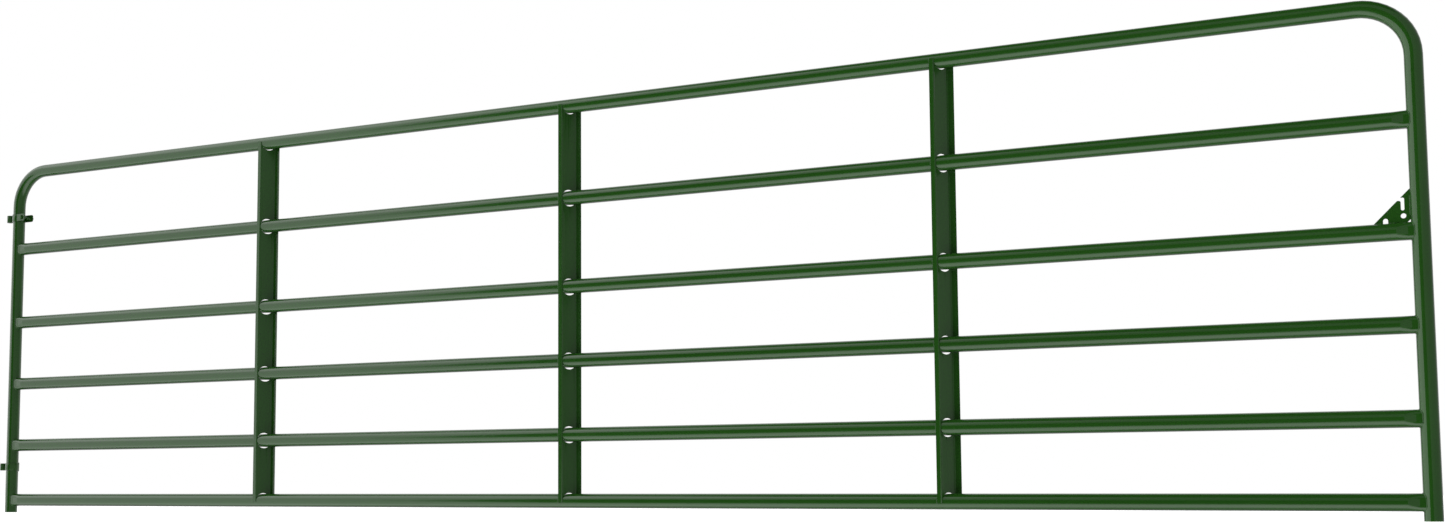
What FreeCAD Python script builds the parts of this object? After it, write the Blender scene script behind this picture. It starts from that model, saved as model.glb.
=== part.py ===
import FreeCAD, Part
import math
import os
import re
import Sketcher

# Livestock panel gate: six horizontal round rails, two end posts bent from the same tube as the
# top rail, three folded braces that the rails pass through, two hinges on the left post and a
# chain latch plate on the right post.
#
# Frame of the whole gate, in millimetres: X runs along the gate from the hinges to the latch,
# Y runs through it from the front to the back, Z is up. The origin is the middle of the lower
# hinge's eye, so the gate swings about the Z axis.

SIZES = [
    ("gate_length", 4876.8, "outside of one end post to outside of the other (16 ft)"),
    ("tube_diameter", 44.45, "outside diameter of every tube (1 3/4 in)"),
    ("tube_wall", 1.1, "wall of every tube (19 gauge)"),
    ("corner_radius", 130.0, "centreline radius of the two top corner bends"),
    ("post_foot", 45.8, "post end below the centre of the bottom rail"),
    ("pitch_bottom_fifth", 204.3, "bottom rail to fifth rail, centre to centre"),
    ("pitch_fifth_fourth", 230.5, "fifth rail to fourth rail"),
    ("pitch_fourth_third", 232.1, "fourth rail to third rail"),
    ("pitch_third_second", 279.5, "third rail to second rail"),
    ("pitch_second_top", 292.6, "second rail to top rail"),
    ("pressed_depth", 35.6, "rail end after pressing, front to back"),
    ("pressed_corner", 13.3, "corner radius of the pressed rail end"),
    ("pressed_reach", 28.0, "post axis to the end of the fully pressed stretch"),
    ("round_reach", 54.0, "post axis to where the rail is fully round again"),
    ("weld_leg", 3.0, "leg of the fillet welds"),
    ("brace_gauge", 2.0, "sheet thickness of a brace"),
    ("rail_clearance", 0.2, "gap between a rail and the inside of a brace flange"),
    ("front_flange", 13.0, "width of a brace's front flange, outside"),
    ("back_flange", 16.6, "width of a brace's back flange, inside"),
    ("web_lean", 25.9, "how far a brace's web leans along the gate from front to back"),
    ("bend_radius", 1.6, "inside bend radius of a brace"),
    ("brace_overrun", 4.5, "brace end beyond the centre of the top and bottom rails"),
    ("hole_gap", 3.8, "gap between a rail and the top or bottom of its punched hole in a brace"),
    ("hole_flat", 0.4, "half width of the flat at the top and bottom of a rail hole"),
    ("hole_shift", 1.3, "how far a rail hole's centre is above or below its rail, where it is"),
    ("bead_width", 3.0, "reach of a brace weld along the rail"),
    ("bead_toe", 0.4, "height of a brace weld at its thin end"),
    ("bead_height", 7.0, "half height of a brace weld"),
    ("hinge_offset", 48.0, "eye axis to post axis, both hinges"),
    ("eye_bore", 16.7, "bore of a hinge eye, for a 5/8 in hinge pin"),
    ("strap_gauge", 3.0, "thickness of the hinge straps"),
    ("strap_height", 26.5, "height of the hinge straps"),
    ("strap_seam", 0.6, "gap between the two plies of a strap's neck"),
    ("lower_hinge_height", 123.5, "lower hinge above the centre of the bottom rail"),
    ("hinge_spacing", 943.0, "lower hinge to upper hinge"),
    ("clamp_clearance", 0.3, "gap between the slack upper hinge and the post"),
    ("collar_clearance", 0.1, "gap between the lower hinge and the post"),
    ("clamp_leg", 49.5, "post axis to the end of the upper hinge's legs"),
    ("leg_draw", 2.5, "how far each leg is drawn in from the side of the upper hinge's band"),
    ("leg_corner", 7.0, "corner radius of the upper hinge's legs"),
    ("bolt_reach", 33.5, "post axis to the clamp bolt"),
    ("bolt_diameter", 9.5, "shank of the clamp bolt (3/8 in)"),
    ("bolt_hole", 10.3, "bolt hole in the legs"),
    ("bolt_length", 57.2, "clamp bolt under its head (2 1/4 in)"),
    ("bolt_head", 6.0, "thickness of the bolt's head"),
    ("hex_flats", 14.3, "bolt head and nut across the flats"),
    ("nut_height", 8.3, "height of the clamp nut"),
    ("washer_outside", 20.0, "outside diameter of the washer"),
    ("washer_gauge", 1.8, "thickness of the washer"),
    ("thread_gap", 0.1, "gap between the bolt and what is threaded over it"),
    ("plate_gauge", 4.8, "thickness of the latch plate"),
    ("plate_leg", 83.9, "legs of the latch plate's right angle"),
    ("plate_clip", 7.5, "clip across the latch plate's right angle"),
    ("slot_width", 8.1, "width of the chain slot"),
    ("slot_inset", 17.0, "centre of the chain slot from the post's surface"),
    ("slot_bottom", 30.4, "lowest point of the chain slot above the rail's surface"),
    ("slot_top", 62.6, "top edge of the chain slot's mouth above the rail's surface"),
    ("mouth_height", 7.8, "height of the chain slot's mouth"),
    ("round_hole", 12.7, "round hole in the latch plate"),
    ("round_hole_inset", 15.8, "round hole from the post's surface"),
    ("round_hole_height", 16.8, "round hole above the rail's surface"),
    ("notch_width", 11.7, "notch in the latch plate's lower edge"),
    ("notch_height", 12.7, "top of that notch above the rail's surface"),
    ("notch_inset", 56.9, "centre of that notch from the post's surface"),
]

doc = FreeCAD.newDocument("livestock_panel_gate")
sheet = doc.addObject("Spreadsheet::Sheet", "Sizes")
for row, (alias, size, meaning) in enumerate(SIZES, start=1):
    sheet.set("A%d" % row, meaning)
    sheet.set("B%d" % row, str(size))
    sheet.setAlias("B%d" % row, alias)
doc.recompute()

TUBE_RADIUS = "(tube_diameter / 2)"
BORE_RADIUS = "(tube_diameter / 2 - tube_wall)"
POST_SPAN = "(gate_length - tube_diameter)"
FIFTH = "pitch_bottom_fifth"
FOURTH = "(%s + pitch_fifth_fourth)" % FIFTH
THIRD = "(%s + pitch_fourth_third)" % FOURTH
SECOND = "(%s + pitch_third_second)" % THIRD
TOP = "(%s + pitch_second_top)" % SECOND
RAIL_HEIGHTS = {
    "rail_second": SECOND,
    "rail_third": THIRD,
    "rail_fourth": FOURTH,
    "rail_fifth": FIFTH,
    "rail_bottom": "0",
}
HOLE_SHIFTS = {TOP: "hole_shift", THIRD: "-hole_shift", FOURTH: "-hole_shift", "0": "-hole_shift"}
BRACE_PLACES = {"brace_left": "0.25", "brace_centre": "0.5", "brace_right": "0.75"}
BOTTOM_RAIL_Z = "-lower_hinge_height"
BRACE_INSIDE = "(%s + rail_clearance)" % TUBE_RADIUS
BRACE_OUTSIDE = "(%s + brace_gauge)" % BRACE_INSIDE
BRACE_WIDTH = "(front_flange + web_lean + back_flange)"
LEG_INSIDE = "(%s + clamp_clearance - leg_draw)" % TUBE_RADIUS
LEG_FACE = "(%s + strap_gauge)" % LEG_INSIDE


def spelled(formula):
    """Put the sheet's name in front of every alias in a formula."""
    return re.sub(r"\b([a-z]+(?:_[a-z]+)+)\b", r"Sizes.\1", formula)


def amount(formula):
    """The present value of a formula of named sizes."""
    return float(sheet.evalExpression(spelled(formula)))


def bind(target, prop, formula):
    target.setExpression(prop, spelled(formula))


def place(target, x="0", y="0", z="0"):
    """Bind a sub-part's position in the gate's frame."""
    for axis, formula in zip("xyz", (x, y, z)):
        bind(target, ".Placement.Base.%s" % axis, formula)


def new_body(name):
    body = doc.addObject("PartDesign::Body", name)
    body.Label = name
    return body


def origin_plane(body, role):
    for feature in body.Origin.OriginFeatures:
        if feature.Role == role:
            return feature
    raise ValueError("no origin plane %s" % role)


def new_sketch(body, role, name, offset="0"):
    """A sketch on one of the body's own planes, moved along the plane's normal by offset."""
    sketch = body.newObject("Sketcher::SketchObject", name)
    sketch.AttachmentSupport = (origin_plane(body, role), [""])
    sketch.MapMode = "FlatFace"
    bind(sketch, ".AttachmentOffset.Base.z", offset)
    return sketch


def hold_point(sketch, geometry, point, x, y):
    """Fix one point of a sketch at a bound distance from the sketch's origin."""
    for kind, formula in (("DistanceX", x), ("DistanceY", y)):
        index = sketch.addConstraint(
            Sketcher.Constraint(kind, -1, 1, geometry, point, amount(formula)))
        bind(sketch, "Constraints[%d]" % index, formula)


def hold_radius(sketch, geometry, radius):
    index = sketch.addConstraint(Sketcher.Constraint("Radius", geometry, amount(radius)))
    bind(sketch, "Constraints[%d]" % index, radius)


def draw_circle(sketch, x, y, radius):
    centre = FreeCAD.Vector(amount(x), amount(y), 0)
    circle = sketch.addGeometry(
        Part.Circle(centre, FreeCAD.Vector(0, 0, 1), amount(radius)), False)
    hold_point(sketch, circle, 3, x, y)
    hold_radius(sketch, circle, radius)


def draw_outline(sketch, corners):
    """A closed outline of straight lines through bound corners."""
    spots = [FreeCAD.Vector(amount(x), amount(y), 0) for x, y in corners]
    count = len(spots)
    lines = [
        sketch.addGeometry(Part.LineSegment(spots[i], spots[(i + 1) % count]), False)
        for i in range(count)
    ]
    for i, (x, y) in enumerate(corners):
        sketch.addConstraint(
            Sketcher.Constraint("Coincident", lines[i - 1], 2, lines[i], 1))
        hold_point(sketch, lines[i], 1, x, y)


def draw_rectangle(sketch, x0, x1, y0, y1):
    draw_outline(sketch, [(x0, y0), (x1, y0), (x1, y1), (x0, y1)])


def draw_rounded(sketch, half_width, half_height, radius, y="0"):
    """A rectangle with round corners, centred on the sketch's vertical axis at height y."""
    across, up, curve, middle = (amount(f) for f in (half_width, half_height, radius, y))
    normal = FreeCAD.Vector(0, 0, 1)
    quarter = math.pi / 2
    inner_x = across - curve
    inner_y = up - curve
    corners = [(1, 1), (-1, 1), (-1, -1), (1, -1)]
    arcs = []
    for turn, (sx, sy) in enumerate(corners):
        centre = FreeCAD.Vector(sx * inner_x, middle + sy * inner_y, 0)
        circle = Part.Circle(centre, normal, curve)
        arc = Part.ArcOfCircle(circle, turn * quarter, (turn + 1) * quarter)
        arcs.append(sketch.addGeometry(arc, False))
    for turn in range(4):
        this_arc = sketch.Geometry[arcs[turn]]
        next_arc = sketch.Geometry[arcs[(turn + 1) % 4]]
        line = sketch.addGeometry(
            Part.LineSegment(this_arc.EndPoint, next_arc.StartPoint), False)
        sketch.addConstraint(Sketcher.Constraint("Tangent", arcs[turn], 2, line, 1))
        sketch.addConstraint(
            Sketcher.Constraint("Tangent", line, 2, arcs[(turn + 1) % 4], 1))
        sketch.addConstraint(
            Sketcher.Constraint("Horizontal" if turn % 2 == 0 else "Vertical", line))
    for turn in range(1, 4):
        sketch.addConstraint(Sketcher.Constraint("Equal", arcs[0], arcs[turn]))
    hold_radius(sketch, arcs[0], radius)
    hold_point(sketch, arcs[0], 3, "%s - %s" % (half_width, radius),
               "%s + %s - %s" % (y, half_height, radius))
    hold_point(sketch, arcs[2], 3, "%s - %s" % (radius, half_width),
               "%s - %s + %s" % (y, half_height, radius))


def pad(body, sketch, name, length, both_ways=False):
    feature = body.newObject("PartDesign::Pad", name)
    feature.Profile = sketch
    bind(feature, "Length", length)
    if both_ways:
        feature.SideType = "Symmetric"
    sketch.Visibility = False
    return feature


def pocket(body, sketch, name):
    """Cut a sketch's outline right through the body, both ways."""
    feature = body.newObject("PartDesign::Pocket", name)
    feature.Profile = sketch
    feature.Type = "ThroughAll"
    feature.SideType = "Symmetric"
    sketch.Visibility = False
    return feature


def fillet(body, name, base, edges, radius):
    feature = body.newObject("PartDesign::Fillet", name)
    feature.Base = (base, edges)
    bind(feature, "Radius", radius)
    return feature


def edges_through(shape, spots, axis):
    """Names of the straight edges along an axis that pass through the given points.

    A spot gives the other two coordinates, in X, Y, Z order.
    """
    kept = [i for i in range(3) if i != axis]
    names = []
    for number, edge in enumerate(shape.Edges, start=1):
        first = edge.Vertexes[0].Point
        last = edge.Vertexes[-1].Point
        along = abs(first[axis] - last[axis])
        if abs((first - last).Length - along) > 1e-4 or along < 1e-3:
            continue
        for spot in spots:
            if all(abs(first[k] - value) < 1e-3 for k, value in zip(kept, spot)):
                names.append("Edge%d" % number)
    return names


def frame_tube():
    """Both end posts and the top rail, bent from one tube."""
    body = new_body("frame_tube")
    height = "(post_foot + %s)" % TOP
    reach = amount(POST_SPAN)
    top = amount(height)
    bend = amount("corner_radius")
    path = new_sketch(body, "XZ_Plane", "frame_path")
    normal = FreeCAD.Vector(0, 0, 1)

    def line(x0, y0, x1, y1):
        return path.addGeometry(
            Part.LineSegment(FreeCAD.Vector(x0, y0, 0), FreeCAD.Vector(x1, y1, 0)), False)

    def arc(x, y, start, stop):
        circle = Part.Circle(FreeCAD.Vector(x, y, 0), normal, bend)
        return path.addGeometry(Part.ArcOfCircle(circle, start, stop), False)

    left_post = line(0, 0, 0, top - bend)
    left_bend = arc(bend, top - bend, math.pi / 2, math.pi)
    top_rail = line(bend, top, reach - bend, top)
    right_bend = arc(reach - bend, top - bend, 0, math.pi / 2)
    right_post = line(reach, top - bend, reach, 0)
    for first, point, second, other in (
            (left_post, 2, left_bend, 2), (left_bend, 1, top_rail, 1),
            (top_rail, 2, right_bend, 2), (right_bend, 1, right_post, 1)):
        path.addConstraint(Sketcher.Constraint("Tangent", first, point, second, other))
    path.addConstraint(Sketcher.Constraint("Equal", left_bend, right_bend))
    path.addConstraint(Sketcher.Constraint("Vertical", left_post))
    hold_point(path, left_post, 1, "0", "0")
    hold_point(path, right_post, 2, POST_SPAN, "0")
    hold_point(path, left_bend, 3, "corner_radius", "%s - corner_radius" % height)
    path.Visibility = False
    for name, kind, radius in (("outside", "PartDesign::AdditivePipe", TUBE_RADIUS),
                               ("bore", "PartDesign::SubtractivePipe", BORE_RADIUS)):
        ring = new_sketch(body, "XY_Plane", "frame_%s_circle" % name)
        draw_circle(ring, "0", "0", radius)
        ring.Visibility = False
        pipe = body.newObject(kind, "frame_%s" % name)
        pipe.Profile = ring
        pipe.Spine = (path, ["Edge%d" % number for number in range(1, 6)])
    place(body, "hinge_offset", "0", "%s - post_foot" % BOTTOM_RAIL_Z)
    return body


def rail(name, height):
    """A straight tube whose ends are pressed flatter and coped onto the posts."""
    body = new_body(name)
    half = "(%s / 2)" % POST_SPAN
    for part, wall, grow, stretch in (
            ("outside", "0", "Pad", "AdditiveLoft"),
            ("bore", "tube_wall", "Pocket", "SubtractiveLoft")):
        radius = "(%s - %s)" % (TUBE_RADIUS, wall)
        ends = []
        middle = new_sketch(body, "YZ_Plane", "%s_%s_round" % (name, part))
        draw_circle(middle, "0", "0", radius)
        tube = body.newObject("PartDesign::" + grow, "%s_%s" % (name, part))
        tube.Profile = middle
        bind(tube, "Length", "%s - 2 * round_reach" % POST_SPAN)
        tube.SideType = "Symmetric"
        middle.Visibility = False
        start = new_sketch(body, "YZ_Plane", "%s_%s_start" % (name, part),
                           "%s - round_reach" % half)
        draw_circle(start, "0", "0", radius)
        stop = new_sketch(body, "YZ_Plane", "%s_%s_pressed" % (name, part),
                          "%s - pressed_reach" % half)
        draw_rounded(stop, "(pressed_depth / 2 - %s)" % wall, radius,
                     "(pressed_corner - %s)" % wall)
        flare = body.newObject("PartDesign::" + stretch, "%s_%s_flare" % (name, part))
        flare.Profile = start
        flare.Sections = [stop]
        ends.append(flare)
        flat = new_sketch(body, "YZ_Plane", "%s_%s_flat" % (name, part), half)
        draw_rounded(flat, "(pressed_depth / 2 - %s)" % wall, radius,
                     "(pressed_corner - %s)" % wall)
        tip = body.newObject("PartDesign::" + grow, "%s_%s_end" % (name, part))
        tip.Profile = flat
        bind(tip, "Length", "pressed_reach")
        tip.Reversed = grow == "Pad"
        ends.append(tip)
        mirror = body.newObject("PartDesign::Mirrored", "%s_%s_mirror" % (name, part))
        mirror.Originals = ends
        mirror.MirrorPlane = (origin_plane(body, "YZ_Plane"), [""])
        body.Tip = mirror
        for sketch in (start, stop, flat):
            sketch.Visibility = False
    cope = new_sketch(body, "XY_Plane", "%s_cope_circles" % name)
    draw_circle(cope, half, "0", TUBE_RADIUS)
    draw_circle(cope, "-" + half, "0", TUBE_RADIUS)
    pocket(body, cope, "%s_cope" % name)
    place(body, "hinge_offset + %s" % half, "0", "%s + %s" % (BOTTOM_RAIL_Z, height))
    return body


def brace(name, place_share):
    """A folded Z section whose slanted web is punched for the rails."""
    body = new_body(name)
    outside = BRACE_OUTSIDE
    left = "(-%s / 2)" % BRACE_WIDTH
    slope = "(web_lean / (2 * %s - brace_gauge))" % outside
    face_gap = "(brace_gauge * sqrt(1 + %s * %s))" % (slope, slope)
    front_bend = "(%s + front_flange)" % left
    back_bend = "(%s + 2 * %s * %s - %s)" % (front_bend, outside, slope, face_gap)
    inner_front = "(%s - web_lean)" % back_bend
    inner_back = "(%s + web_lean)" % front_bend
    section = new_sketch(body, "XY_Plane", "%s_section" % name)
    draw_outline(section, [
        (left, "-" + outside),
        (front_bend, "-" + outside),
        (inner_back, "%s - brace_gauge" % outside),
        ("-" + left, "%s - brace_gauge" % outside),
        ("-" + left, outside),
        (back_bend, outside),
        (inner_front, "brace_gauge - %s" % outside),
        (left, "brace_gauge - %s" % outside),
    ])
    sheet_pad = pad(body, section, "%s_sheet" % name, "%s + 2 * brace_overrun" % TOP)
    doc.recompute()
    half_depth = amount(outside)
    gauge = amount("brace_gauge")
    outer_bends = edges_through(sheet_pad.Shape, [
        (amount(front_bend), -half_depth), (amount(back_bend), half_depth)], 2)
    bends = fillet(body, "%s_outer_bends" % name, sheet_pad, outer_bends,
                   "bend_radius + brace_gauge")
    doc.recompute()
    inner_bends = edges_through(bends.Shape, [
        (amount(inner_back), half_depth - gauge), (amount(inner_front), gauge - half_depth)], 2)
    fillet(body, "%s_inner_bends" % name, bends, inner_bends, "bend_radius")
    for rank, height in enumerate([TOP] + list(RAIL_HEIGHTS.values())):
        hole = new_sketch(body, "YZ_Plane", "%s_hole_outline_%d" % (name, rank))
        draw_rounded(hole, BRACE_INSIDE, "(%s + hole_gap)" % TUBE_RADIUS,
                     "(%s - hole_flat)" % BRACE_INSIDE,
                     "(%s + brace_overrun + %s)" % (height, HOLE_SHIFTS.get(height, "0")))
        pocket(body, hole, "%s_hole_%d" % (name, rank))
    place(body, "hinge_offset + %s * %s" % (place_share, POST_SPAN), "0",
          "%s - brace_overrun" % BOTTOM_RAIL_Z)
    return body


def brace_welds(name, place_share):
    """Short beads between a brace's free flange edges and each rail."""
    body = new_body(name)
    edge = "(%s / 2)" % BRACE_WIDTH
    toe = "(%s / 2 + bead_width)" % BRACE_WIDTH
    root = "(%s - bead_width)" % TUBE_RADIUS
    crest = "(%s + rail_clearance + brace_gauge)" % TUBE_RADIUS
    for rank, height in enumerate([TOP] + list(RAIL_HEIGHTS.values())):
        outlines = new_sketch(body, "XY_Plane", "%s_outlines_%d" % (name, rank), height)
        for sign in ("-", ""):
            draw_outline(outlines, [
                (sign + toe, sign + root), (sign + edge, sign + root),
                (sign + edge, sign + crest), (sign + toe, "%s(%s + bead_toe)" % (sign, TUBE_RADIUS))])
        pad(body, outlines, "%s_beads_%d" % (name, rank), "2 * bead_height", both_ways=True)
    rails = new_sketch(body, "YZ_Plane", "%s_rail_circles" % name)
    for height in [TOP] + list(RAIL_HEIGHTS.values()):
        draw_circle(rails, "0", height, TUBE_RADIUS)
    pocket(body, rails, "%s_rail_cut" % name)
    place(body, "hinge_offset + %s * %s" % (place_share, POST_SPAN), "0", BOTTOM_RAIL_Z)
    return body


def post_welds(name, post_x, turn):
    """Fillet beads round the five rail ends on one post."""
    body = new_body(name)
    for rail_end, height in RAIL_HEIGHTS.items():
        ring = new_sketch(body, "YZ_Plane", "%s_%s_outline" % (name, rail_end))
        draw_rounded(ring, "(pressed_depth / 2 + weld_leg)", "(%s + weld_leg)" % TUBE_RADIUS,
                     "(pressed_corner + weld_leg)", height)
        draw_rounded(ring, "(pressed_depth / 2)", TUBE_RADIUS, "pressed_corner", height)
        pad(body, ring, "%s_%s_ring" % (name, rail_end), "2 * %s" % TUBE_RADIUS)
    beyond = new_sketch(body, "XY_Plane", "%s_trim_outline" % name)
    draw_rectangle(beyond, "-3 * " + TUBE_RADIUS, "3 * " + TUBE_RADIUS,
                   "-3 * " + TUBE_RADIUS, "3 * " + TUBE_RADIUS)
    draw_circle(beyond, "0", "0", "(%s + weld_leg)" % TUBE_RADIUS)
    pocket(body, beyond, "%s_trim" % name)
    post = new_sketch(body, "XY_Plane", "%s_post_circle" % name)
    draw_circle(post, "0", "0", TUBE_RADIUS)
    pocket(body, post, "%s_post_cut" % name)
    body.Placement.Rotation = FreeCAD.Rotation(FreeCAD.Vector(0, 0, 1), turn)
    place(body, post_x, "0", BOTTOM_RAIL_Z)
    return body


def latch_plate():
    """A triangle of plate in the corner of the right post and the third rail.

    Its own origin is where the post's surface meets the rail's: the plate's legs run up
    along +Z and back along -X.
    """
    body = new_body("latch_plate")
    blank = new_sketch(body, "XZ_Plane", "plate_outline")
    draw_outline(blank, [
        ("-plate_clip", "0"), ("0", "plate_clip"), ("0", "plate_leg"), ("-plate_leg", "0")])
    pad(body, blank, "plate_blank", "plate_gauge", both_ways=True)
    slot_left = "(-slot_inset - slot_width / 2)"
    slot_right = "(slot_width / 2 - slot_inset)"
    slot_end = "(slot_bottom + slot_width / 2)"
    slot = new_sketch(body, "XZ_Plane", "slot_outline")
    draw_outline(slot, [
        (slot_left, slot_end), (slot_right, slot_end), (slot_right, "slot_top"),
        ("-plate_leg", "slot_top"), ("-plate_leg", "slot_top - mouth_height"),
        (slot_left, "slot_top - mouth_height")])
    slot_cut = pocket(body, slot, "slot")
    doc.recompute()
    shoulder = edges_through(slot_cut.Shape, [
        (amount(slot_left), amount("slot_top - mouth_height"))], 1)
    rounding = fillet(body, "slot_shoulder", slot_cut, shoulder, "slot_width / 2")
    doc.recompute()
    ceiling = edges_through(rounding.Shape, [(amount(slot_right), amount("slot_top"))], 1)
    fillet(body, "slot_ceiling", rounding, ceiling, "slot_width / 2")
    holes = new_sketch(body, "XZ_Plane", "plate_circles")
    draw_circle(holes, "-round_hole_inset", "round_hole_height", "round_hole / 2")
    pocket(body, holes, "round_hole")
    slot_round = new_sketch(body, "XZ_Plane", "slot_end_circle")
    draw_circle(slot_round, "-slot_inset", slot_end, "slot_width / 2")
    pocket(body, slot_round, "slot_end")
    notch = new_sketch(body, "XZ_Plane", "notch_outline")
    notch_side = "(notch_width / 2)"
    draw_rectangle(notch, "-notch_inset - " + notch_side, "%s - notch_inset" % notch_side,
                   "-1", "notch_height - " + notch_side)
    pocket(body, notch, "notch")
    notch_round = new_sketch(body, "XZ_Plane", "notch_end_circle")
    draw_circle(notch_round, "-notch_inset", "notch_height - " + notch_side, notch_side)
    pocket(body, notch_round, "notch_end")
    place(body, "hinge_offset + %s - %s" % (POST_SPAN, TUBE_RADIUS), "0",
          "%s + %s + %s" % (BOTTOM_RAIL_Z, THIRD, TUBE_RADIUS))
    return body


def latch_plate_welds():
    """Beads on both faces of the latch plate: one up the post, two along the rail."""
    body = new_body("latch_plate_welds")
    face = "(plate_gauge / 2)"
    up_post = new_sketch(body, "XY_Plane", "post_bead_outline", "plate_clip + weld_leg")
    along_rail = new_sketch(body, "YZ_Plane", "rail_bead_outline",
                            "%s - round_reach" % TUBE_RADIUS)
    along_tip = new_sketch(body, "YZ_Plane", "tip_bead_outline",
                           "-notch_inset - notch_width / 2 - weld_leg / 2")
    for sign in ("", "-"):
        near = sign + face
        far = "%s(%s + weld_leg)" % (sign, face)
        draw_outline(up_post, [("-weld_leg", near), ("weld_leg", near), ("weld_leg", far)])
        for sketch in (along_rail, along_tip):
            draw_outline(sketch, [(near, "weld_leg"), (near, "-weld_leg"), (far, "-weld_leg")])
    pad(body, up_post, "post_bead", "plate_leg - plate_clip - 4 * weld_leg")
    for sketch, name, length in (
            (along_rail, "rail_bead",
             "(notch_inset - notch_width / 2 - weld_leg / 2 - round_reach + %s)" % TUBE_RADIUS),
            (along_tip, "tip_bead",
             "(plate_leg - notch_inset - notch_width / 2 - 1.5 * weld_leg)")):
        pad(body, sketch, name, length).Reversed = True
    post = new_sketch(body, "XY_Plane", "welded_post_circle")
    draw_circle(post, TUBE_RADIUS, "0", TUBE_RADIUS)
    pocket(body, post, "welded_post_cut")
    third = new_sketch(body, "YZ_Plane", "welded_rail_circle")
    draw_circle(third, "0", "-" + TUBE_RADIUS, TUBE_RADIUS)
    pocket(body, third, "welded_rail_cut")
    place(body, "hinge_offset + %s - %s" % (POST_SPAN, TUBE_RADIUS), "0",
          "%s + %s + %s" % (BOTTOM_RAIL_Z, THIRD, TUBE_RADIUS))
    return body


def strap_blank(body, inside, legs):
    """The eye, the neck and the band round the post, all one height; the post is the origin."""
    outside = "(%s + strap_gauge)" % inside
    band = new_sketch(body, "XY_Plane", "%s_band" % body.Name)
    draw_circle(band, "0", "0", outside)
    pad(body, band, "%s_band_pad" % body.Name, "strap_height", both_ways=True)
    if legs:
        straight = new_sketch(body, "XY_Plane", "%s_leg_outline" % body.Name)
        draw_rectangle(straight, "0", "clamp_leg", "-" + LEG_FACE, LEG_FACE)
        pad(body, straight, "%s_legs" % body.Name, "strap_height", both_ways=True)
    neck = new_sketch(body, "XY_Plane", "%s_neck_outline" % body.Name)
    draw_rectangle(neck, "-hinge_offset", "-" + inside, "-strap_gauge", "strap_gauge")
    pad(body, neck, "%s_neck" % body.Name, "strap_height", both_ways=True)
    eye = new_sketch(body, "XY_Plane", "%s_eye_circle" % body.Name)
    draw_circle(eye, "-hinge_offset", "0", "(eye_bore / 2 + strap_gauge)")
    return pad(body, eye, "%s_eye" % body.Name, "strap_height", both_ways=True)


def strap_cuts(body, inside):
    """The eye's bore, the post's seat and the seam where the strap's two plies meet."""
    bores = new_sketch(body, "XY_Plane", "%s_bore_circles" % body.Name)
    draw_circle(bores, "0", "0", inside)
    draw_circle(bores, "-hinge_offset", "0", "eye_bore / 2")
    pocket(body, bores, "%s_bores" % body.Name)
    seam = new_sketch(body, "XY_Plane", "%s_seam_outline" % body.Name)
    draw_rectangle(seam, "-hinge_offset", "-%s / 2" % inside, "-strap_seam / 2", "strap_seam / 2")
    return pocket(body, seam, "%s_seam" % body.Name)


def upper_hinge():
    """A strap looped round the hinge pin and the post, its two legs drawn up by a bolt."""
    body = new_body("upper_hinge")
    inside = "(%s + clamp_clearance)" % TUBE_RADIUS
    strap_blank(body, inside, legs=True)
    gap = new_sketch(body, "XY_Plane", "upper_hinge_gap_outline")
    draw_rectangle(gap, "0", "2 * clamp_leg", "-" + LEG_INSIDE, LEG_INSIDE)
    pocket(body, gap, "upper_hinge_gap")
    strap_cuts(body, inside)
    bolt = new_sketch(body, "XZ_Plane", "upper_hinge_bolt_circle")
    draw_circle(bolt, "bolt_reach", "0", "bolt_hole / 2")
    drilled = pocket(body, bolt, "upper_hinge_bolt_holes")
    doc.recompute()
    half = amount("strap_height") / 2
    reach = amount("clamp_leg")
    corners = edges_through(drilled.Shape, [(reach, half), (reach, -half)], 1)
    fillet(body, "upper_hinge_leg_corners", drilled, corners, "leg_corner")
    place(body, "hinge_offset", "0", "hinge_spacing")
    return body


def lower_hinge():
    """A closed strap with its eye, slipped over the post and welded there."""
    body = new_body("lower_hinge")
    inside = "(%s + collar_clearance)" % TUBE_RADIUS
    strap_blank(body, inside, legs=False)
    strap_cuts(body, inside)
    place(body, "hinge_offset", "0", "0")
    return body


def lower_hinge_welds():
    """Two beads behind the post, above and below the lower hinge."""
    body = new_body("lower_hinge_welds")
    radius = TUBE_RADIUS
    for name, side, wide, narrow in (("upper", "strap_height / 2", "weld_leg", "0.5"),
                                     ("lower", "-strap_height / 2 - weld_leg", "0.5", "weld_leg")):
        bead = body.newObject("PartDesign::AdditiveCone", "lower_hinge_%s_bead" % name)
        bead.AttachmentSupport = (origin_plane(body, "XY_Plane"), [""])
        bead.MapMode = "FlatFace"
        bead.AttachmentOffset.Rotation = FreeCAD.Rotation(FreeCAD.Vector(0, 0, 1), 50)
        bind(bead, ".AttachmentOffset.Base.z", side)
        bind(bead, "Radius1", "(%s + %s)" % (radius, wide))
        bind(bead, "Radius2", "(%s + %s)" % (radius, narrow))
        bind(bead, "Height", "weld_leg")
        bead.Angle = 80
    post = new_sketch(body, "XY_Plane", "lower_hinge_weld_post")
    draw_circle(post, "0", "0", radius)
    pocket(body, post, "lower_hinge_weld_cut")
    place(body, "hinge_offset", "0", "0")
    return body


def hexagon(sketch, flats):
    """A hexagon with two flats level, centred on the sketch's origin."""
    side = "(%s / sqrt(3))" % flats
    half = "(%s / 2)" % flats
    draw_outline(sketch, [
        (side, "0"), (side + " / 2", half), ("-%s / 2" % side, half), ("-" + side, "0"),
        ("-%s / 2" % side, "-" + half), (side + " / 2", "-" + half)])


def bolt_part(name):
    """A body on the clamp bolt's axis, which runs through both legs from front to back."""
    body = new_body(name)
    place(body, "hinge_offset + bolt_reach", "0", "hinge_spacing")
    return body


def upper_hinge_bolt():
    body = bolt_part("upper_hinge_bolt")
    head = new_sketch(body, "XZ_Plane", "bolt_head_outline", LEG_FACE)
    hexagon(head, "hex_flats")
    pad(body, head, "bolt_head", "bolt_head")
    shank = new_sketch(body, "XZ_Plane", "bolt_shank_circle", LEG_FACE)
    draw_circle(shank, "0", "0", "bolt_diameter / 2")
    pad(body, shank, "bolt_shank", "bolt_length").Reversed = True
    return body


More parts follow.
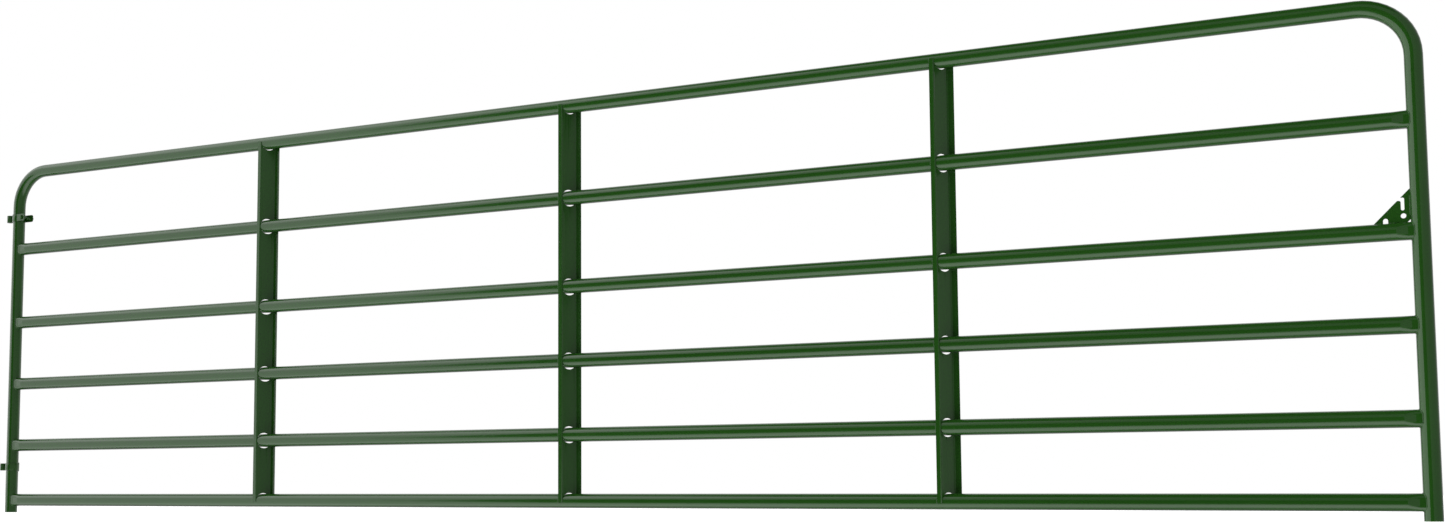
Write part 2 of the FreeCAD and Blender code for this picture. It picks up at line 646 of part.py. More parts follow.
def upper_hinge_nut():
    body = bolt_part("upper_hinge_nut")
    outline = new_sketch(body, "XZ_Plane", "nut_outline",
                         "-%s - washer_gauge - nut_height" % LEG_FACE)
    hexagon(outline, "hex_flats")
    draw_circle(outline, "0", "0", "(bolt_diameter / 2 + thread_gap)")
    pad(body, outline, "nut", "nut_height")
    return body


def upper_hinge_washer():
    body = bolt_part("upper_hinge_washer")
    outline = new_sketch(body, "XZ_Plane", "washer_outline", "-%s - washer_gauge" % LEG_FACE)
    draw_circle(outline, "0", "0", "washer_outside / 2")
    draw_circle(outline, "0", "0", "(bolt_diameter / 2 + thread_gap)")
    pad(body, outline, "washer", "washer_gauge")
    return body


def check_and_export():
    doc.recompute()
    for item in doc.Objects:
        if "Invalid" in item.State or "Error" in item.State:
            raise RuntimeError("%s did not recompute: %s" % (item.Label, item.State))
    os.makedirs("parts", exist_ok=True)
    for item in doc.Objects:
        if item.TypeId != "PartDesign::Body":
            continue
        shape = item.Shape
        if shape.isNull() or not shape.isValid():
            raise RuntimeError("%s has no valid shape" % item.Label)
        shape.exportStep("parts/%s.step" % item.Label)


frame_tube()
for rail_name, rail_height in RAIL_HEIGHTS.items():
    rail(rail_name, rail_height)
for brace_name, share in BRACE_PLACES.items():
    brace(brace_name, share)
    brace_welds(brace_name + "_welds", share)
post_welds("hinge_post_welds", "hinge_offset", 0)
post_welds("latch_post_welds", "hinge_offset + %s" % POST_SPAN, 180)
latch_plate()
latch_plate_welds()
upper_hinge()
upper_hinge_bolt()
upper_hinge_washer()
upper_hinge_nut()
lower_hinge()
lower_hinge_welds()
check_and_export()
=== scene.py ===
import math

import bmesh
import bpy
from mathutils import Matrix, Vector


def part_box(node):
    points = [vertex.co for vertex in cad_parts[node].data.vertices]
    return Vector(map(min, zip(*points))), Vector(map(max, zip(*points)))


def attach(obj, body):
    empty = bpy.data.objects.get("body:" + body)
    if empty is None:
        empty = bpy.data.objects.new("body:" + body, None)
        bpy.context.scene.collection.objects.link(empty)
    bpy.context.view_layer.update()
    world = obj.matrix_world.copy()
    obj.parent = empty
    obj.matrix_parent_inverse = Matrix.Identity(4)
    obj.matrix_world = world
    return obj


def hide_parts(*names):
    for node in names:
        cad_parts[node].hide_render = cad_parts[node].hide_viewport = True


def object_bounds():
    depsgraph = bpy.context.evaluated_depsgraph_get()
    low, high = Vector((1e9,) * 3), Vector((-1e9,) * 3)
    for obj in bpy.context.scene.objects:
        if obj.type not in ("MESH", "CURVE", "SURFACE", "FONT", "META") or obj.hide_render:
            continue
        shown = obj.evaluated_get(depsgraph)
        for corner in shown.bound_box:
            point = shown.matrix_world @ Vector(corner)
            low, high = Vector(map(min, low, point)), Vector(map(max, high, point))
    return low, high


# Livestock panel gate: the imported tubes, braces, hinges and latch plate keep their shape and get
# gloss enamel. The weld beads and the clamp's bolt, washer and nut are rebuilt here with the
# ripples, thread and chamfers of real ones. Metres: X runs along the gate from the hinges to the
# latch, Y from its front to its back, Z is up.

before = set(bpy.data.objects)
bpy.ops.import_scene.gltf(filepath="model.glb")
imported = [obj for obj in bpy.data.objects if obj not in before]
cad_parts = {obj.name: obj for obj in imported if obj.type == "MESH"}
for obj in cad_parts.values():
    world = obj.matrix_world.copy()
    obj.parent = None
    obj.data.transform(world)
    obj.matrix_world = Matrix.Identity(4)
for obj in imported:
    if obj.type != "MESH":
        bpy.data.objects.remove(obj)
cad_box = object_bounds()

RAILS = ["rail_second", "rail_third", "rail_fourth", "rail_fifth", "rail_bottom"]
BRACES = ["brace_left", "brace_centre", "brace_right"]


def middle(node):
    """Centre of a CAD node's box."""
    low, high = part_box(node)
    return (Vector(low) + Vector(high)) / 2


tube_low, tube_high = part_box("frame_tube")
TUBE_RADIUS = (tube_high[1] - tube_low[1]) / 2
HINGE_POST_X = tube_low[0] + TUBE_RADIUS
LATCH_POST_X = tube_high[0] - TUBE_RADIUS
TOP_RAIL_Z = tube_high[2] - TUBE_RADIUS
RAIL_HEIGHTS = {name: middle(name).z for name in RAILS}

# ---------------------------------------------------------------- materials

GREEN = (0.0165, 0.088, 0.0072)
GREEN_THIN = (0.0190, 0.098, 0.0088)
GREEN_DUST = (0.0280, 0.098, 0.0180)

# Lumps to the metre of the slow colour drift, the long waves and the orange peel of the paint.
DRIFT_SCALE = 5.0
WAVE_SCALE = 60.0
PEEL_SCALE = 420.0
WAVE_TO_PEEL = 2.5
PAINT_IOR = 1.5

# The handling marks show in this range of their field, and dull the gloss by this much.
MARK_RANGE = (0.52, 0.78)
MARK_ROUGHNESS = 0.08


def new_material(name):
    """An empty node material, with its tree and its principled shader."""
    material = bpy.data.materials.new(name)
    material.use_nodes = True
    tree = material.node_tree
    tree.nodes.clear()
    output = tree.nodes.new("ShaderNodeOutputMaterial")
    shader = tree.nodes.new("ShaderNodeBsdfPrincipled")
    tree.links.new(shader.outputs["BSDF"], output.inputs["Surface"])
    return material, tree, shader


def noise(tree, place, scale, detail=3.0, stretch=(1.0, 1.0, 1.0)):
    """A noise field of that many lumps to the metre."""
    mapping = tree.nodes.new("ShaderNodeMapping")
    mapping.inputs["Scale"].default_value = stretch
    field = tree.nodes.new("ShaderNodeTexNoise")
    field.inputs["Scale"].default_value = scale
    field.inputs["Detail"].default_value = detail
    tree.links.new(place, mapping.inputs["Vector"])
    tree.links.new(mapping.outputs["Vector"], field.inputs["Vector"])
    return field.outputs["Fac"]


def spread(tree, value, low, high, from_low=0.3, from_high=0.7):
    """Spread a field's middle values from low to high."""
    remap = tree.nodes.new("ShaderNodeMapRange")
    remap.inputs["From Min"].default_value = from_low
    remap.inputs["From Max"].default_value = from_high
    remap.inputs["To Min"].default_value = low
    remap.inputs["To Max"].default_value = high
    tree.links.new(value, remap.inputs["Value"])
    return remap.outputs["Result"]


def blend_colours(tree, amount, first, second):
    """Mix two colours, each a tuple or another node's output."""
    mix = tree.nodes.new("ShaderNodeMix")
    mix.data_type = "RGBA"
    for socket, colour in ((mix.inputs[6], first), (mix.inputs[7], second)):
        if isinstance(colour, tuple):
            socket.default_value = (*colour, 1.0)
        else:
            tree.links.new(colour, socket)
    tree.links.new(amount, mix.inputs[0])
    return mix.outputs[2]


def add_bump(tree, height, distance, under=None):
    """Turn a height field into a normal, on top of another one if that is given."""
    bump = tree.nodes.new("ShaderNodeBump")
    bump.inputs["Distance"].default_value = distance
    tree.links.new(height, bump.inputs["Height"])
    if under is not None:
        tree.links.new(under, bump.inputs["Normal"])
    return bump.outputs["Normal"]


def enamel(name, gloss, peel, draw=(1.0, 1.0, 1.0), dust=0.25, lumps=90.0):
    """Baked gloss enamel: slow colour drift, dull handling marks, long waves and orange peel."""
    material, tree, shader = new_material(name)
    place = tree.nodes.new("ShaderNodeTexCoord").outputs["Object"]
    drift = spread(tree, noise(tree, place, DRIFT_SCALE, 2.0, draw), 0.0, 1.0)
    colour = blend_colours(tree, drift, GREEN, GREEN_THIN)
    marks = noise(tree, place, lumps, 6.0, draw)
    film = spread(tree, marks, 0.0, dust, *MARK_RANGE)
    colour = blend_colours(tree, film, colour, GREEN_DUST)
    tree.links.new(colour, shader.inputs["Base Color"])
    tree.links.new(spread(tree, marks, gloss, gloss + MARK_ROUGHNESS), shader.inputs["Roughness"])
    normal = add_bump(tree, noise(tree, place, PEEL_SCALE, 2.0), peel)
    waves = noise(tree, place, WAVE_SCALE, 1.0, draw)
    normal = add_bump(tree, waves, WAVE_TO_PEEL * peel, under=normal)
    tree.links.new(normal, shader.inputs["Normal"])
    shader.inputs["IOR"].default_value = PAINT_IOR
    return material


DRAWN_ALONG = (0.12, 1.0, 1.0)
DRAWN_UP = (1.0, 1.0, 0.15)
PAINT = {
    "tube": enamel("tube_enamel", 0.07, 0.00001, DRAWN_ALONG),
    "sheet": enamel("sheet_enamel", 0.1, 0.000015, DRAWN_UP),
    "plate": enamel("plate_enamel", 0.11, 0.000015),
    "strap": enamel("strap_enamel", 0.11, 0.000015, lumps=160.0),
    "weld": enamel("weld_enamel", 0.2, 0.00005, dust=0.4, lumps=300.0),
    "fastener": enamel("fastener_enamel", 0.2, 0.00003, dust=0.5, lumps=400.0),
}


def paint(thing, kind):
    """One paint on every slot of an object."""
    slots = thing.data.materials
    if not slots:
        slots.append(PAINT[kind])
    for index in range(len(slots)):
        slots[index] = PAINT[kind]


# ---------------------------------------------------------------- mesh helpers


def finish_piece(name, bm, kind, body, node):
    """Make a smooth-shaded, painted piece from a bmesh, riding on a body in a CAD node's place."""
    bmesh.ops.recalc_face_normals(bm, faces=bm.faces)
    mesh = bpy.data.meshes.new(name)
    bm.to_mesh(mesh)
    bm.free()
    piece = bpy.data.objects.new(name, mesh)
    bpy.context.scene.collection.objects.link(piece)
    for face in mesh.polygons:
        face.use_smooth = True
    paint(piece, kind)
    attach(piece, body)
    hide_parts(node)


def finish_beads(name, bm, node):
    """Weld beads of the gate's fixed frame."""
    finish_piece(name, bm, "weld", "gate", node)


def finish_fastener(name, bm, node):
    """A fastener of the clamp, which slides with it."""
    finish_piece(name, bm, "fastener", "upper_hinge_clamp", node)


def rings_to_mesh(bm, rings, closed):
    """Skin a list of point rings; open skins are capped at both ends."""
    loops = [[bm.verts.new(point) for point in ring] for ring in rings]
    count = len(loops[0])
    last = len(loops) if closed else len(loops) - 1
    for row in range(last):
        here = loops[row]
        there = loops[(row + 1) % len(loops)]
        for i in range(count):
            j = (i + 1) % count
            bm.faces.new((here[i], here[j], there[j], there[i]))
    if not closed:
        for loop in (loops[0], loops[-1]):
            bm.faces.new(loop)


# ---------------------------------------------------------------- weld beads

BEAD_SIDES = 12
RIPPLE_PITCH = 0.0026
RIPPLE_STEPS = 5
RIPPLE_HEIGHT = 0.10
RIPPLE_LEAN = 0.05
# Size, as a share of the bead's radius, rate and phase of the two waves of a bead's wander.
WANDERS = ((0.07, 11.0, 1.0), (0.04, 29.0, 2.0))
FEWEST_STEPS = 12
TAPER_LENGTH = 0.003
TIP_THICKNESS = 0.12
HEADING_STEP = 0.002
NEARLY_ALONG_X = 0.9


def bead_swell(step, share, phase):
    """A bead's thickness at a step, as a share of its plain radius: ripples and a slow wander."""
    ripple = (step % RIPPLE_STEPS) / RIPPLE_STEPS
    ripples = 1.0 + RIPPLE_HEIGHT * math.sin(math.pi * ripple) - RIPPLE_LEAN * ripple
    wander = sum(size * math.sin(rate * share + turns * phase) for size, rate, turns in WANDERS)
    return ripples * (1.0 + wander)


def end_thickness(distance):
    """Thickness of an open bead's rounded start and crater, at a distance from its end."""
    reach = distance / TAPER_LENGTH
    if reach >= 1.0:
        return 1.0
    return TIP_THICKNESS + (1.0 - TIP_THICKNESS) * math.sqrt(max(0.0, reach * (2.0 - reach)))


def heading(path, share, closed):
    """Direction of a path at a share of its length."""
    before = share - HEADING_STEP
    after = share + HEADING_STEP
    if closed:
        return (path(after % 1.0) - path(before % 1.0)).normalized()
    return (path(min(1.0, after)) - path(max(0.0, before))).normalized()


def weld_bead(bm, path, length, radius, closed=False, phase=0.0):
    """A rippled weld bead along path(share); an open one has a rounded start and crater."""
    steps = max(FEWEST_STEPS, round(length / RIPPLE_PITCH) * RIPPLE_STEPS)
    rings = []
    for step in range(steps if closed else steps + 1):
        share = step / steps
        ahead = heading(path, share, closed)
        if closed or abs(ahead.x) < NEARLY_ALONG_X:
            side = ahead.cross(Vector((1.0, 0.0, 0.0))).normalized()
        else:
            side = ahead.orthogonal().normalized()
        other = ahead.cross(side)
        thickness = radius * bead_swell(step, share, phase)
        if not closed:
            thickness *= end_thickness(min(share, 1.0 - share) * length)
        ring = []
        for k in range(BEAD_SIDES):
            angle = 2.0 * math.pi * k / BEAD_SIDES
            ring.append(path(share) + thickness * (math.cos(angle) * side + math.sin(angle) * other))
        rings.append(ring)
    rings_to_mesh(bm, rings, closed)


# A rail's end as it is pressed in the CAD model, front to back and round its corners.
PRESSED_DEPTH = 0.0356
PRESSED_CORNER = 0.0133
POST_BEAD_RADIUS = 0.0015


def pressed_outline(share):
    """A point round the pressed rail end, as (across, up) from the rail's axis."""
    half_across = PRESSED_DEPTH / 2 - PRESSED_CORNER
    half_up = TUBE_RADIUS - PRESSED_CORNER
    quarter = math.pi / 2 * PRESSED_CORNER
    stretches = (
        (2 * half_up, half_across, half_up), (2 * half_across, -half_across, half_up),
        (2 * half_up, -half_across, -half_up), (2 * half_across, half_across, -half_up))
    gone = (share % 1.0) * (4 * half_up + 4 * half_across + 4 * quarter)
    for turn, (flat, across, up) in enumerate(stretches):
        corner = Vector((across, up))
        facing = turn * math.pi / 2
        if gone <= flat:
            outward = Vector((math.cos(facing), math.sin(facing)))
            along = Vector((-math.sin(facing), math.cos(facing)))
            return corner + PRESSED_CORNER * outward - (flat - gone) * along
        gone -= flat
        if gone <= quarter:
            angle = facing + gone / PRESSED_CORNER
            return corner + PRESSED_CORNER * Vector((math.cos(angle), math.sin(angle)))
        gone -= quarter
    return pressed_outline(0.0)


def post_beads(name, post_x, inward, node):
    """One closed bead round each rail end on a post."""
    bm = bmesh.new()
    corners_round = 2 * math.pi * PRESSED_CORNER - 8 * PRESSED_CORNER
    length = 2 * (PRESSED_DEPTH + 2 * TUBE_RADIUS) + corners_round
    first_phase = 2.0 if inward > 0 else 0.0
    for rank, height in enumerate(RAIL_HEIGHTS.values()):
        def joint(share, height=height):
            across, up = pressed_outline(share)
            reach = math.sqrt(TUBE_RADIUS ** 2 - across ** 2)
            return Vector((post_x + inward * reach, across, height + up))
        weld_bead(bm, joint, length, POST_BEAD_RADIUS, closed=True, phase=rank + first_phase)
    finish_beads(name, bm, node)


BRACE_BEAD_HALF = 0.0065
BRACE_BEAD_STAND = 0.0004
SHEET_BEAD_RADIUS = 0.0019


def brace_beads(brace):
    """A short bead on each free flange edge where it crosses a rail."""
    bm = bmesh.new()
    low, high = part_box(brace)
    heights = list(RAIL_HEIGHTS.values()) + [TOP_RAIL_Z]
    for rank, height in enumerate(heights):
        for side, edge_x in ((-1, low[0]), (1, high[0])):
            def joint(share, height=height, side=side, edge_x=edge_x):
                rise = (2.0 * share - 1.0) * BRACE_BEAD_HALF
                depth = math.sqrt(TUBE_RADIUS ** 2 - rise ** 2) + BRACE_BEAD_STAND
                return Vector((edge_x + side * BRACE_BEAD_STAND, side * depth, height + rise))
            weld_bead(bm, joint, 2 * BRACE_BEAD_HALF, SHEET_BEAD_RADIUS, phase=rank * 1.7 + side)
    finish_beads(brace + "_beads", bm, brace + "_welds")


# Where the beads of the latch plate stop: along the post, from each end of the plate, and along
# the rail, from the post's surface and from the plate's tip.
PLATE_BEAD_STAND = 0.0006
POST_RUN_INSET = 0.016
MIDDLE_RUN = (0.034, 0.049)
TIP_RUN_START = 0.065
TIP_RUN_INSET = 0.004


def latch_plate_beads():
    """Beads up the post and along the rail on both faces of the latch plate."""
    bm = bmesh.new()
    low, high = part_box("latch_plate")
    face = (high[1] - low[1]) / 2
    post_x = LATCH_POST_X - TUBE_RADIUS
    rail_z = RAIL_HEIGHTS["rail_third"] + TUBE_RADIUS
    for side in (-1, 1):
        y = side * (face + PLATE_BEAD_STAND)
        runs = [
            ((post_x, y, rail_z + POST_RUN_INSET), (post_x, y, high[2] - POST_RUN_INSET)),
            ((post_x - MIDDLE_RUN[0], y, rail_z), (post_x - MIDDLE_RUN[1], y, rail_z)),
            ((post_x - TIP_RUN_START, y, rail_z), (low[0] + TIP_RUN_INSET, y, rail_z)),
        ]
        for rank, ends in enumerate(runs):
            start, stop = (Vector(end) for end in ends)

            def joint(share, start=start, stop=stop):
                return start.lerp(stop, share)
            weld_bead(bm, joint, (stop - start).length, SHEET_BEAD_RADIUS, phase=rank + side)
    finish_beads("latch_plate_beads", bm, "latch_plate_welds")


COLLAR_BEAD_START = math.radians(50.0)
COLLAR_BEAD_SWEEP = math.radians(80.0)
COLLAR_BEAD_STAND = 0.0008
COLLAR_BEAD_RADIUS = 0.0024


def lower_hinge_beads():
    """Two arcs of bead behind the post, above and below the lower hinge."""
    bm = bmesh.new()
    low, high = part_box("lower_hinge")
    radius = TUBE_RADIUS + COLLAR_BEAD_STAND
    for edge, outward in ((high[2], 1.0), (low[2], -1.0)):
        def joint(share, edge=edge, outward=outward):
            angle = COLLAR_BEAD_START + COLLAR_BEAD_SWEEP * share
            return Vector((HINGE_POST_X + radius * math.cos(angle), radius * math.sin(angle),
                           edge + outward * COLLAR_BEAD_STAND))
        weld_bead(bm, joint, radius * COLLAR_BEAD_SWEEP, COLLAR_BEAD_RADIUS, phase=outward)
    finish_beads("lower_hinge_beads", bm, "lower_hinge_welds")


# ---------------------------------------------------------------- clamp bolt, washer and nut

THREAD_PITCH = 0.0015875
THREAD_DEPTH = 0.00075
THREAD_STEPS = 6
THREAD_START = 0.028
THREAD_RUNOUT = 0.0012
TIP_CHAMFER = 0.0003
SHANK_RADIUS = 0.00475
NUT_BORE = 0.00485
ROUND_STEPS = 48

# Radii of the head's and the nut's round faces, as shares of the width over their flats; the ring
# inside the head's front face, as a share of that face; and how far the hexagon's corners fall
# away for each step outward from a round face.
HEAD_CROWN = 0.46
HEAD_SEAT = 0.49
NUT_CROWN = 0.47
HEAD_FACE = 0.55
HEX_CHAMFER = 0.45

# Small steps at the edges of the faces, the nut's bore and the washer.
SMALL_EDGE = 0.0002
SEAT_EDGE = 0.0005
SEAT_STAND = 0.0001
BORE_SINK = 0.0006
WASHER_EDGE = 0.0003


def around_y(axis, y, radius_at):
    """A ring round the bolt's axis, which runs along Y; radius_at is a radius or a function."""
    ring = []
    for k in range(ROUND_STEPS):
        angle = 2.0 * math.pi * k / ROUND_STEPS
        radius = radius_at(angle) if callable(radius_at) else radius_at
        ring.append(Vector((axis.x + radius * math.cos(angle), y, axis.z + radius * math.sin(angle))))
    return ring


def hex_radius(flats, angle):
    """Distance from a hexagon's centre to its side; two of its flats are level."""
    turn = angle % (math.pi / 3) - math.pi / 6
    return flats / 2 / math.cos(turn)


def hex_ring(axis, y, flats, direction, crown):
    """A ring of a hexagon whose corners fall away, along Y, from a chamfer circle."""
    ring = around_y(axis, y, lambda angle: hex_radius(flats, angle))
    for point in ring:
        radius = math.hypot(point.x - axis.x, point.z - axis.z)
        point.y += direction * (radius - crown) * HEX_CHAMFER
    return ring


def thread_radius(along, angle):
    """Radius of the cut thread at a distance along it."""
    phase = (along / THREAD_PITCH + angle / (2.0 * math.pi)) % 1.0
    return SHANK_RADIUS - THREAD_DEPTH * (1.0 - abs(2.0 * phase - 1.0))


def bolt_piece():
    """Hexagon head with a chamfered crown, shank and cut thread."""
    low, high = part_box("upper_hinge_bolt")
    nut_low, nut_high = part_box("upper_hinge_nut")
    axis = middle("upper_hinge_bolt")
    flats = nut_high[2] - nut_low[2]
    crown = flats * HEAD_CROWN
    back_leg_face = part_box("upper_hinge_washer")[0][1]
    head_back = 2 * middle("upper_hinge").y - back_leg_face
    rings = [
        around_y(axis, low[1], crown * HEAD_FACE),
        around_y(axis, low[1], crown),
        hex_ring(axis, low[1] + SMALL_EDGE, flats, 1.0, crown),
        around_y(axis, head_back - SEAT_EDGE, lambda angle: hex_radius(flats, angle)),
        around_y(axis, head_back - SEAT_STAND, flats * HEAD_SEAT),
        around_y(axis, head_back, SHANK_RADIUS),
        around_y(axis, head_back + THREAD_START, SHANK_RADIUS),
    ]
    thread_stop = high[1] - head_back - THREAD_RUNOUT
    steps = round((thread_stop - THREAD_START) / THREAD_PITCH * THREAD_STEPS)
    for step in range(1, steps + 1):
        along = THREAD_START + (thread_stop - THREAD_START) * step / steps
        rings.append(around_y(axis, head_back + along,
                              lambda angle, along=along: thread_radius(along, angle)))
    rings.append(around_y(axis, high[1], SHANK_RADIUS - THREAD_DEPTH - TIP_CHAMFER))
    bm = bmesh.new()
    rings_to_mesh(bm, rings, closed=False)
    finish_fastener("clamp_bolt", bm, "upper_hinge_bolt")


def nut_piece():
    """Hexagon nut with both faces chamfered and a countersunk bore."""
    low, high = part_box("upper_hinge_nut")
    axis = middle("upper_hinge_nut")
    flats = high[2] - low[2]
    crown = flats * NUT_CROWN
    rings = [
        around_y(axis, low[1] + BORE_SINK, NUT_BORE),
        around_y(axis, low[1], NUT_BORE + BORE_SINK),
        around_y(axis, low[1], crown),
        hex_ring(axis, low[1] + SMALL_EDGE, flats, 1.0, crown),
        hex_ring(axis, high[1] - SMALL_EDGE, flats, -1.0, crown),
        around_y(axis, high[1], crown),
        around_y(axis, high[1], NUT_BORE + BORE_SINK),
        around_y(axis, high[1] - BORE_SINK, NUT_BORE),
    ]
    bm = bmesh.new()
    rings_to_mesh(bm, rings, closed=True)
    finish_fastener("clamp_nut", bm, "upper_hinge_nut")


def washer_piece():
    """Punched washer with rounded edges."""
    low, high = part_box("upper_hinge_washer")
    axis = middle("upper_hinge_washer")
    outer = (high[2] - low[2]) / 2
    edge = WASHER_EDGE
    section = (
        (low[1], NUT_BORE + edge), (low[1], outer - 2 * edge), (low[1] + edge, outer - edge / 2),
        (low[1] + 2 * edge, outer), (high[1] - edge, outer), (high[1], outer - edge),
        (high[1], NUT_BORE + edge), (high[1] - edge, NUT_BORE), (low[1] + edge, NUT_BORE))
    bm = bmesh.new()
    rings_to_mesh(bm, [around_y(axis, y, radius) for y, radius in section], closed=True)
    finish_fastener("clamp_washer", bm, "upper_hinge_washer")


# ---------------------------------------------------------------- carried-over nodes

NODE_PAINTS = {
    "frame_tube": "tube", "latch_plate": "plate", "upper_hinge": "strap", "lower_hinge": "strap",
    **{name: "tube" for name in RAILS},
    **{name: "sheet" for name in BRACES},
}
EDGE_RADIUS = {
    "latch_plate": 0.0005, "upper_hinge": 0.0004, "lower_hinge": 0.0004,
    **{name: 0.0003 for name in BRACES},
}


def soften_edges(thing, radius):
    """Round a cut piece's sharp edges a little, as its paint does."""
    weld = thing.modifiers.new("joined", "WELD")
    weld.merge_threshold = 1e-5
    bevel = thing.modifiers.new("rounded", "BEVEL")
    bevel.width = radius
    bevel.segments = 2
    bevel.limit_method = "ANGLE"
    bevel.angle_limit = math.radians(40.0)
    bevel.harden_normals = True


for node_name, node_paint in NODE_PAINTS.items():
    paint(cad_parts[node_name], node_paint)
    if node_name in EDGE_RADIUS:
        soften_edges(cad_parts[node_name], EDGE_RADIUS[node_name])

post_beads("hinge_post_beads", HINGE_POST_X, 1.0, "hinge_post_welds")
post_beads("latch_post_beads", LATCH_POST_X, -1.0, "latch_post_welds")
for brace_name in BRACES:
    brace_beads(brace_name)
latch_plate_beads()
lower_hinge_beads()
bolt_piece()
nut_piece()
washer_piece()

# ---------------------------------------------------------------- floor, studio and camera

GATE_MIDDLE_X = (cad_box[0].x + cad_box[1].x) / 2
FLOOR_HALF = 150.0
FLOOR_GAP = 0.0005
WHITE = (1.0, 1.0, 1.0, 1.0)


def make_floor():
    """A wide pale floor under the posts' feet, which glows enough to melt into the white backdrop."""
    bm = bmesh.new()
    bmesh.ops.create_grid(bm, x_segments=1, y_segments=1, size=FLOOR_HALF)
    mesh = bpy.data.meshes.new("floor")
    bm.to_mesh(mesh)
    bm.free()
    floor = bpy.data.objects.new("floor", mesh)
    floor.location = (GATE_MIDDLE_X, 0.0, cad_box[0].z - FLOOR_GAP)
    bpy.context.scene.collection.objects.link(floor)
    material, _, shader = new_material("floor_pale")
    shader.inputs["Base Color"].default_value = (0.8, 0.8, 0.8, 1.0)
    shader.inputs["Roughness"].default_value = 0.9
    shader.inputs["Emission Color"].default_value = WHITE
    shader.inputs["Emission Strength"].default_value = 0.75
    mesh.materials.append(material)
    floor.visible_glossy = False
    floor.visible_diffuse = False


def node_math(tree, operation, first, second):
    """One math node; its two values are numbers or other nodes' outputs."""
    node = tree.nodes.new("ShaderNodeMath")
    node.operation = operation
    for socket, value in zip(node.inputs, (first, second)):
        if isinstance(value, (int, float)):
            socket.default_value = value
        else:
            tree.links.new(value, socket)
    return node.outputs["Value"]


def ramp(tree, angle, start, stop, low, high):
    """A smooth change from low to high as an angle in degrees goes from start to stop."""
    remap = tree.nodes.new("ShaderNodeMapRange")
    remap.interpolation_type = "SMOOTHSTEP"
    for name, value in (("From Min", start), ("From Max", stop), ("To Min", low), ("To Max", high)):
        remap.inputs[name].default_value = value
    tree.links.new(angle, remap.inputs["Value"])
    return remap.outputs["Result"]


def band(tree, angle, low, high, soft):
    """1 between two angles in degrees, fading to 0 over soft on either side."""
    rising = ramp(tree, angle, low - soft, low + soft, 0.0, 1.0)
    falling = ramp(tree, angle, high - soft, high + soft, 1.0, 0.0)
    return node_math(tree, "MINIMUM", rising, falling)


def look_angles(tree):
    """Turn and height, in degrees, of each direction round the gate: turn is 0 straight in front
    of it and grows towards its latch, and height is 0 level."""
    direction = tree.nodes.new("ShaderNodeTexCoord").outputs["Generated"]
    parts = tree.nodes.new("ShaderNodeSeparateXYZ")
    tree.links.new(direction, parts.inputs["Vector"])
    x, y, z = (parts.outputs[name] for name in "XYZ")
    degrees = 180.0 / math.pi
    front = node_math(tree, "MULTIPLY", y, -1.0)
    turn = node_math(tree, "MULTIPLY", node_math(tree, "ARCTAN2", x, front), degrees)
    height = node_math(tree, "MULTIPLY", node_math(tree, "ARCSINE", z, 0.0), degrees)
    return turn, height


ROOM_LIGHT = 0.02


def studio_light(tree):
    """Brightness of the studio by direction: the brightest of five soft panels and the room.

    Each panel is its spread along the turn, its spread along the height and its strength.
    """
    turn, height = look_angles(tree)
    past_hinges = (
        band(tree, turn, -107.0, -34.0, 1.5),
        band(tree, height, -44.0, 42.0, 6.0),
        1.75)
    above = (
        node_math(tree, "MINIMUM", ramp(tree, turn, -115.0, -66.0, 1.0, 2.45),
                  ramp(tree, turn, -54.0, -12.0, 2.45, 0.36)),
        band(tree, height, 23.0, 60.0, 8.0),
        1.0)
    underfoot = (
        node_math(tree, "MINIMUM", ramp(tree, turn, -115.0, -70.0, 0.25, 1.0),
                  ramp(tree, turn, 70.0, 115.0, 1.0, 0.25)),
        node_math(tree, "MINIMUM", ramp(tree, height, -92.0, -60.0, 0.5, 2.1),
                  ramp(tree, height, -46.0, -16.0, 2.1, 0.05)),
        1.0)
    behind = (
        node_math(tree, "MAXIMUM", ramp(tree, turn, -128.0, -112.0, 1.0, 0.0),
                  ramp(tree, turn, 126.0, 136.0, 0.0, 1.0)),
        band(tree, height, -46.0, 56.0, 8.0),
        0.9)
    past_latch = (
        ramp(tree, turn, 2.0, 10.0, 0.0, 1.0),
        band(tree, height, -40.0, 60.0, 8.0),
        0.42)
    light = ROOM_LIGHT
    for across, up, strength in (past_hinges, above, underfoot, behind, past_latch):
        panel = node_math(tree, "MULTIPLY", node_math(tree, "MULTIPLY", across, up), strength)
        light = node_math(tree, "MAXIMUM", panel, light)
    return light


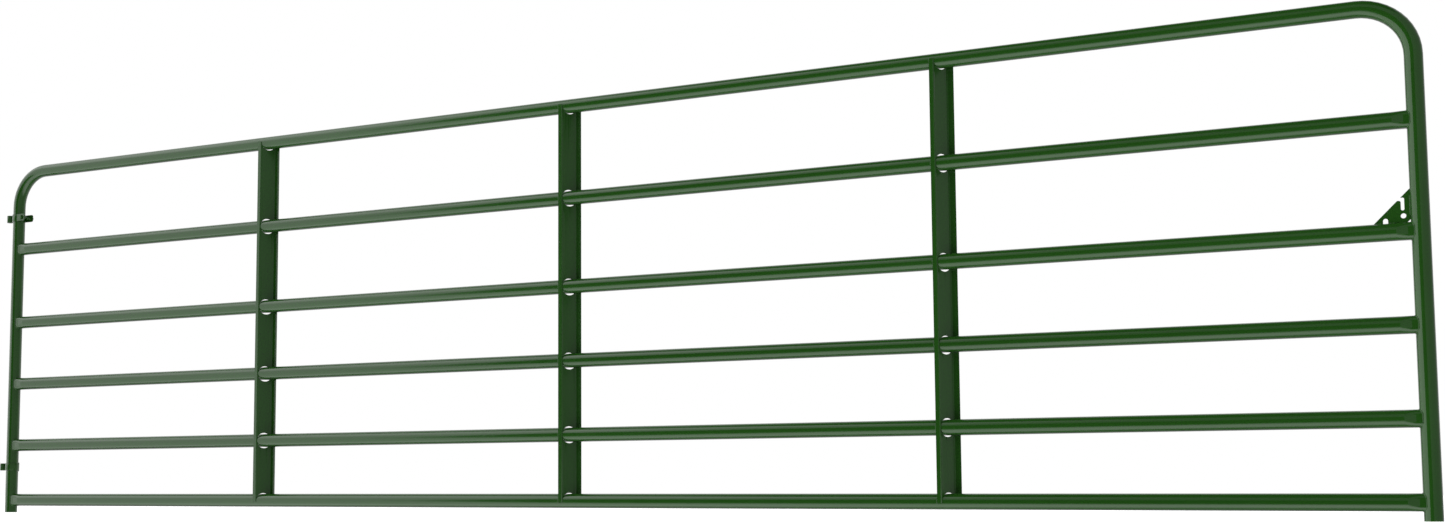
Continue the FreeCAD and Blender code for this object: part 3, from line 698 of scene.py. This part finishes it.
def make_studio():
    """The gate is lit by the soft panels round it. The camera itself sees plain white."""
    world = bpy.data.worlds.new("studio")
    bpy.context.scene.world = world
    world.use_nodes = True
    tree = world.node_tree
    tree.nodes.clear()
    studio = tree.nodes.new("ShaderNodeBackground")
    studio.inputs["Color"].default_value = WHITE
    tree.links.new(studio_light(tree), studio.inputs["Strength"])
    backdrop = tree.nodes.new("ShaderNodeBackground")
    backdrop.inputs["Color"].default_value = WHITE
    mix = tree.nodes.new("ShaderNodeMixShader")
    seen = tree.nodes.new("ShaderNodeLightPath").outputs["Is Camera Ray"]
    tree.links.new(seen, mix.inputs["Fac"])
    tree.links.new(studio.outputs["Background"], mix.inputs[1])
    tree.links.new(backdrop.outputs["Background"], mix.inputs[2])
    output = tree.nodes.new("ShaderNodeOutputWorld")
    tree.links.new(mix.outputs["Shader"], output.inputs["Surface"])
    bpy.context.scene.view_settings.view_transform = "Standard"


LAMP_SIZE = (7.0, 3.0)
LAMP_WATTS = 12.0
LAMP_FORWARD = 1.0
LAMP_HEIGHT = 4.5


def make_lamp():
    """A broad soft lamp overhead, a little in front of the gate."""
    data = bpy.data.lights.new("overhead", "AREA")
    data.shape = "RECTANGLE"
    data.size, data.size_y = LAMP_SIZE
    data.energy = LAMP_WATTS
    lamp = bpy.data.objects.new("overhead", data)
    lamp.location = (GATE_MIDDLE_X, -LAMP_FORWARD, LAMP_HEIGHT)
    lamp.visible_glossy = False
    bpy.context.scene.collection.objects.link(lamp)


# The camera stands low in front of the latch post and looks back along the gate.
CAMERA_PLACE = (5.259, -4.8816, -0.1053)
CAMERA_YAW = 0.522844
CAMERA_PITCH = 0.0940524
LENS_MM = 45.12
SENSOR_MM = 36.0
SHIFT = (0.1093, 0.0437)
FAR_CLIP = 500.0


def make_camera():
    """The camera of the picture."""
    data = bpy.data.cameras.new("camera")
    data.lens = LENS_MM
    data.sensor_width = SENSOR_MM
    data.shift_x, data.shift_y = SHIFT
    data.clip_end = FAR_CLIP
    camera = bpy.data.objects.new("camera", data)
    camera.location = CAMERA_PLACE
    camera.rotation_euler = (math.pi / 2 + CAMERA_PITCH, 0.0, CAMERA_YAW)
    bpy.context.scene.collection.objects.link(camera)
    bpy.context.scene.camera = camera


make_floor()
make_studio()
make_lamp()
make_camera()
